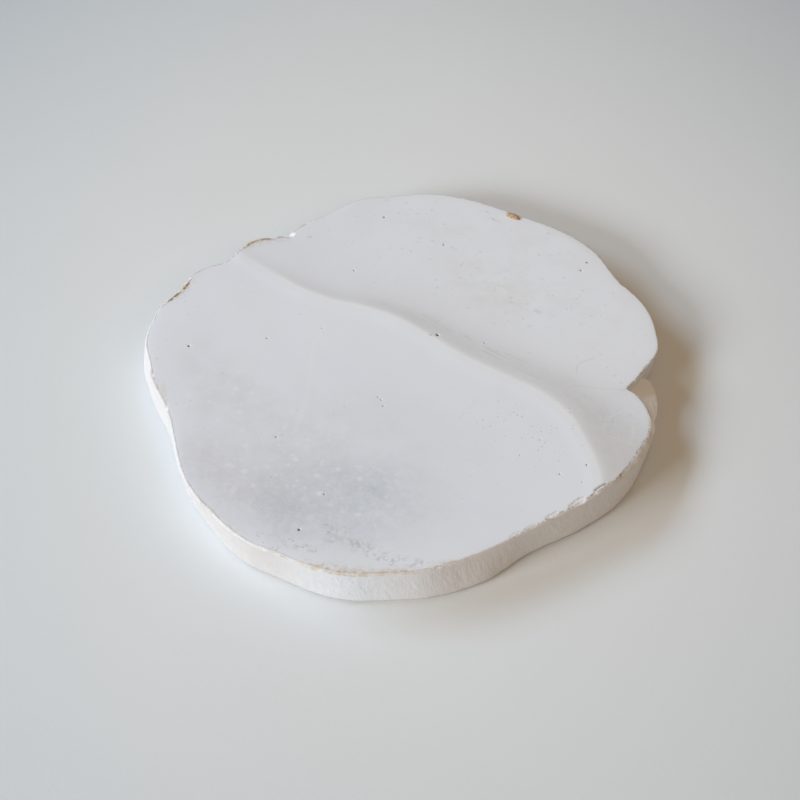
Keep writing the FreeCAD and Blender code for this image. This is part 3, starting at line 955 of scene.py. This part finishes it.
def face_colour(m, streaks):
    """Clean white, faint clouds, damp and mottled patches, bloom spots and the step's streaks,
    with a painted highlight along the crest and painted shade in the step's hollow.
    """
    cloud = m.span(m.noise(26, 4, 0.6), 0.35, 0.7)
    colour = m.over(WHITE, WHITE_WARM, cloud, 0.5)
    blotch = m.span(m.span(m.noise(9, 4, 0.6), 0.36, 0.66), 0, 1, 0.6, 1)
    colour = m.over(colour, MOTTLE, m.mask("mottle"), blotch, 0.7)
    across = m.mask("across")
    rubbed = m.span(m.mask("along"), 20, 90)
    colour = m.over(colour, WHITE_PALER, m.span(across, -50, -14), rubbed, 0.4)
    # Lighter over the far side of the step.
    colour = m.over(colour, WHITE_PALER, m.span(across, 8, 30), 0.45)
    uneven = m.span(m.noise(3.2, 6, 0.8), 0.3, 0.68, 0.45, 1.05)
    colour = m.over(colour, DUSK, m.mask("dusk"), uneven)
    colour = m.over(colour, DAMP, m.mask("damp"), uneven)
    stain = m.span(m.noise(11, 5, 0.7), 0.4, 0.66)
    colour = m.over(colour, BEIGE, m.mask("far_stain"), stain, 0.45)
    speck = m.times(m.span(m.cells(5.2), 0.08, 0.22, 1, 0),
                    m.span(m.noise(12, 3, 0.6), 0.42, 0.58), m.span(across, 10, 26))
    colour = m.over(colour, DAMP, speck, 0.38)
    for pitch, size, amount in ((7, 0.26, 0.55), (3.6, 0.28, 0.45), (13, 0.15, 0.6)):
        spot = m.span(m.cells(pitch), 0, size * 1.2, 1, 0)
        colour = m.over(colour, WHITE_PALER, spot, m.mask("bloom"), amount)
    # Painted highlight along the crest, broken up by noise; the scratches are pale marks in the
    # same colour.
    worn = m.span(m.noise(5, 3), 0.2, 0.7, 0.6, 1)
    colour = m.over(colour, CREST_HIGHLIGHT_AND_SCRATCH_WHITE, m.mask("crest"), worn, 0.85)
    colour = m.over(colour, CREST_HIGHLIGHT_AND_SCRATCH_WHITE, m.mask("scratch"), 0.75)
    # Painted shade in the step's hollow, made uneven by noise.
    cloudy = m.span(m.noise(4.5, 6, 0.8), 0.34, 0.62, 0.35, 1.1)
    colour = m.over(colour, STEP_HOLLOW_SHADE, m.mask("ditch"), cloudy, 0.12)
    return m.over(colour, GREEN_GREY, streaks, 0.42)


def step_streaks(m):
    """Streaks that run along the hollow of the step, and where they are."""
    across, along = m.mask("across"), m.mask("along")
    flow = m.node("ShaderNodeCombineXYZ", {"X": across, "Y": along}).outputs[0]
    lanes = m.stretch((0.75, 0.018, 1), flow)
    streak = m.node("ShaderNodeTexNoise", {"Vector": lanes, "Scale": 1, "Detail": 3,
                                           "Roughness": 0.55}).outputs["Fac"]
    on_step = m.times(m.span(across, 0, 3), m.span(across, 9, 18, 1, 0),
                      m.span(along, 75, 120), m.span(along, 195, 225, 1, 0),
                      m.span(m.noise(9, 3, 0.6), 0.42, 0.62))
    return streak, on_step


def wall_colour(m):
    """Raw and broken plaster, painted darker on the side toward the windows and lighter on the
    shaded side and at the front, with a painted shadow at the foot.
    """
    grime = m.span(m.noise(4, 5, 0.6), 0.4, 0.75)
    # Painted light and shade by side: darker facing the windows, lighter on the shaded side and at
    # the front.
    raw = m.mix(m.mask("pale"), WALL_LIT_SIDE_DARKENED, WALL_SHADED_SIDE_LIGHTENED)
    raw = m.mix(m.mask("front"), raw, WALL_FRONT_LIGHTENED)
    raw = m.over(raw, WALL_GREY, grime, 0.4)
    # Painted contact shadow, darker towards the foot of the wall on its shaded side.
    height = m.node("ShaderNodeSeparateXYZ", {0: m.place}).outputs["Z"]
    foot_shadow = m.span(height, 0.4 * MM, 2.6 * MM, 1, 0)
    raw = m.over(raw, FOOT_CONTACT_SHADOW, foot_shadow, m.mask("pale"), 0.55)
    # Freshly broken plaster is whiter, and the same colour is painted light on the flash wedge.
    fresh_and_painted_light = m.math("MAXIMUM", m.mask("chipped"), m.times(m.mask("broken"), 0.25))
    return m.over(raw, FRESH_BREAK_AND_PAINTED_LIGHT, fresh_and_painted_light, 0.9)


def add_stains_and_dark_edges(m, colour):
    """A brown line along the broken edge of the skin, painted shadow round the chips, stains and
    crusts.
    """
    ragged = m.span(m.noise(1.6, 4, 0.6), 0.36, 0.58)
    stain = m.mask("rim_stain")
    colour = m.over(colour, OCHRE, stain, m.span(m.noise(2.6, 4, 0.7), 0.38, 0.62), 0.75)
    # A brown line along the broken edge of the skin, rusty where the rim is stained.
    rust = m.mix(stain, EDGE_BROWN, RUST)
    colour = m.over(colour, rust, m.mask("skin_edge"), ragged, 0.8)
    # Painted shadow along the inner edge of each chip.
    colour = m.over(colour, EDGE_BROWN, m.mask("chip_edge"), ragged, 0.6)
    clump = m.span(m.noise(2.2, 4, 0.7, warp=0.6), 0.47, 0.6)
    colour = m.over(colour, CRUST, clump, m.span(m.mask("crust"), 0.2, 0.9), 0.46)
    return m.over(colour, HAIRLINE, m.mask("mark"))


def add_pinholes(m, colour):
    """Painted shade in the pinholes: the large ones are in the mesh and darkened as well, and the
    many small ones are dark dots.
    """
    loose = m.times(m.span(m.cells(2.9), 0.055, 0.085, 1, 0),
                    m.span(m.noise(14, 2), 0.52, 0.64))
    sown = m.times(m.span(m.cells(2), 0.09, 0.15, 1, 0),
                   m.span(m.noise(3.4, 3), 0.44, 0.52), m.mask("pores"))
    colour = m.over(colour, PIT_SHADE, m.math("MAXIMUM", loose, sown), 0.6)
    return m.over(colour, PIT_SHADE, m.mask("pit"), 0.85)


def set_sheen(m, wall):
    """The face is burnished by use, and dull where it is bloomed."""
    gloss = m.span(m.noise(8, 4, 0.6), 0.3, 0.7, 0.42, 0.56)
    gloss = m.math("ADD", gloss, m.times(m.mask("bloom"), 0.06))
    m.put(m.node("ShaderNodeMix", {0: wall, 2: gloss, 3: 0.88}).outputs[0],
          m.surface.inputs["Roughness"])
    m.surface.inputs["Specular IOR Level"].default_value = 0.35


def set_grain(m, wall, streak, on_step):
    """Fine tooth everywhere, streaks on the step, scraping on the wall."""
    fine = m.bump(m.noise(0.45, 3, 0.6), 0.02, 0.5)
    soft = m.bump(m.noise(5.5, 3, 0.5), 0.08, 0.3, fine)
    lined = m.bump(m.times(streak, on_step), 0.12, 0.5, soft)
    combed = m.stretch((1, 1, 0.28), turn=(0.45, 0.3, 0))
    rib = m.noise(0.9, 3, 0.65, combed)
    pore = m.span(m.cells(1.7), 0.1, 0.22)
    tooth = m.math("ADD", rib, m.times(pore, 0.5))
    rough = m.bump(m.times(tooth, wall), 0.22, 0.8, lined)
    m.put(rough, m.surface.inputs["Normal"])


def plaster(name):
    """Cast plaster: satin and pinholed on the face, matt and scraped on the wall."""
    m = Shader(name)
    wall = m.mask("wall")
    streak, on_step = step_streaks(m)
    streaks = m.times(on_step, m.span(streak, 0.52, 0.62))
    colour = m.mix(wall, face_colour(m, streaks), wall_colour(m))
    m.put(add_pinholes(m, add_stains_and_dark_edges(m, colour)), m.surface.inputs["Base Color"])
    set_sheen(m, wall)
    set_grain(m, wall, streak, on_step)
    return m.material


def dried_clay():
    m = Shader("dried_clay_crumb")
    patch = m.span(m.noise(0.9, 4, 0.6), 0.35, 0.7)
    colour = m.mix(patch, CLAY_DARK, CLAY_LIGHT)
    dust = m.span(m.noise(0.35, 3, 0.6), 0.55, 0.75)
    m.put(m.over(colour, CLAY_DUST, dust, 0.5), m.surface.inputs["Base Color"])
    m.put(m.span(m.noise(0.6, 3), 0.3, 0.7, 0.8, 0.97), m.surface.inputs["Roughness"])
    m.put(m.bump(m.noise(0.3, 4, 0.7), 0.12, 0.9), m.surface.inputs["Normal"])
    return m.material


def painted_table():
    """Pale paint with a roller's grain, with painted shade that darkens it towards the table's
    edges, where the light falls off.
    """
    m = Shader("painted_table")
    cloud = m.span(m.noise(160, 3, 0.5), 0.3, 0.7)
    pale = m.mix(cloud, TABLE_DULL, TABLE_PALE)
    spread = m.node("ShaderNodeMapping", {"Vector": m.place, "Scale": FALLOFF_SPREAD,
                                          "Location": (0, -0.12, 0)}).outputs[0]
    reach = m.node("ShaderNodeVectorMath", {0: spread, 1: spread}, operation="DOT_PRODUCT")
    falloff_shade = m.math("MULTIPLY", reach.outputs["Value"], FALLOFF_SHADE_RATE, clamp=True)
    m.put(m.mix(falloff_shade, pale, TABLE_FALLOFF_SHADE), m.surface.inputs["Base Color"])
    m.put(m.span(m.noise(3, 3), 0.3, 0.7, 0.5, 0.62), m.surface.inputs["Roughness"])
    roller = m.bump(m.noise(1.5, 3, 0.6), 0.08, 0.55)
    m.put(m.bump(m.noise(0.5, 2, 0.5), 0.03, 0.4, roller), m.surface.inputs["Normal"])
    return m.material


def use(piece, material):
    piece.data.materials.clear()
    piece.data.materials.append(material)


# ---- staging
def make_floor():
    bpy.ops.mesh.primitive_plane_add(size=TABLE_SIZE, location=(0, 0, -TABLE_DROP))
    floor = bpy.context.object
    floor.name = "table_top"
    use(floor, painted_table())


def aim(thing, target):
    thing.rotation_euler = (Vector(target) - thing.location).to_track_quat("-Z", "Y").to_euler()


def soft_light(name, direction, size, power, colour):
    """An area light that looks at the slab from a bearing and a height, both in degrees."""
    bearing, height = (math.radians(angle) for angle in direction)
    data = bpy.data.lights.new(name, "AREA")
    data.shape = "RECTANGLE"
    data.size, data.size_y = size
    data.energy = power
    data.color = colour
    lamp = bpy.data.objects.new(name, data)
    bpy.context.scene.collection.objects.link(lamp)
    flat = math.cos(height)
    way = Vector((flat * math.cos(bearing), flat * math.sin(bearing), math.sin(height)))
    lamp.location = LIGHT_DISTANCE * way
    aim(lamp, (0, 0, 0))


def make_camera():
    """Stands in front of the slab and looks down on it."""
    elevation = math.radians(CAMERA_HEIGHT)
    target = Vector(CAMERA_AIM)
    data = bpy.data.cameras.new("camera")
    data.sensor_width = CAMERA_SENSOR
    data.lens = CAMERA_LENS
    camera = bpy.data.objects.new("camera", data)
    bpy.context.scene.collection.objects.link(camera)
    way = Vector((0, -math.cos(elevation), math.sin(elevation)))
    camera.location = target + CAMERA_DISTANCE * way
    aim(camera, target)
    bpy.context.scene.camera = camera


def make_lights():
    """Two windows on the left, a faint pale light in front on the right, and a warm room."""
    soft_light("window_front", (213, 21.5), (1.7, 0.9), 132.0, (0.795, 0.893, 0.958))
    soft_light("window_back", (160, 31), (3.0, 1.0), 100.0, (0.665, 0.865, 1.075))
    soft_light("room_front", (305, 40), (3.0, 1.6), 25.0, (0.90, 0.83, 0.84))
    world = bpy.data.worlds.new("room")
    world.use_nodes = True
    world.node_tree.nodes["Background"].inputs["Color"].default_value = ROOM_GLOW
    bpy.context.scene.world = world
    bpy.context.scene.view_settings.view_transform = "Standard"


make_camera()
SLAB = Slab()
FACE_COAT, CORNER = make_face(SLAB)
BODY = make_body(SLAB)
FLASH = make_flash()
CRUMB = make_crumb()
FACE_PLASTER = plaster("plaster_face_satin")
BODY_PLASTER = plaster("plaster_body_scraped")
for piece, node, slot, material in (
        (FACE_COAT, "face_coat", "plaster_face", FACE_PLASTER),
        (CORNER, "cracked_corner", "plaster_face", FACE_PLASTER),
        (BODY, "body_pour", "plaster_body", BODY_PLASTER),
        (FLASH, "notch_flash", "plaster_body", BODY_PLASTER),
        (CRUMB, "clay_crumb", "dried_clay", dried_clay())):
    use(piece, material)
    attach(piece, "root")
    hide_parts(node)
make_floor()
make_lights()
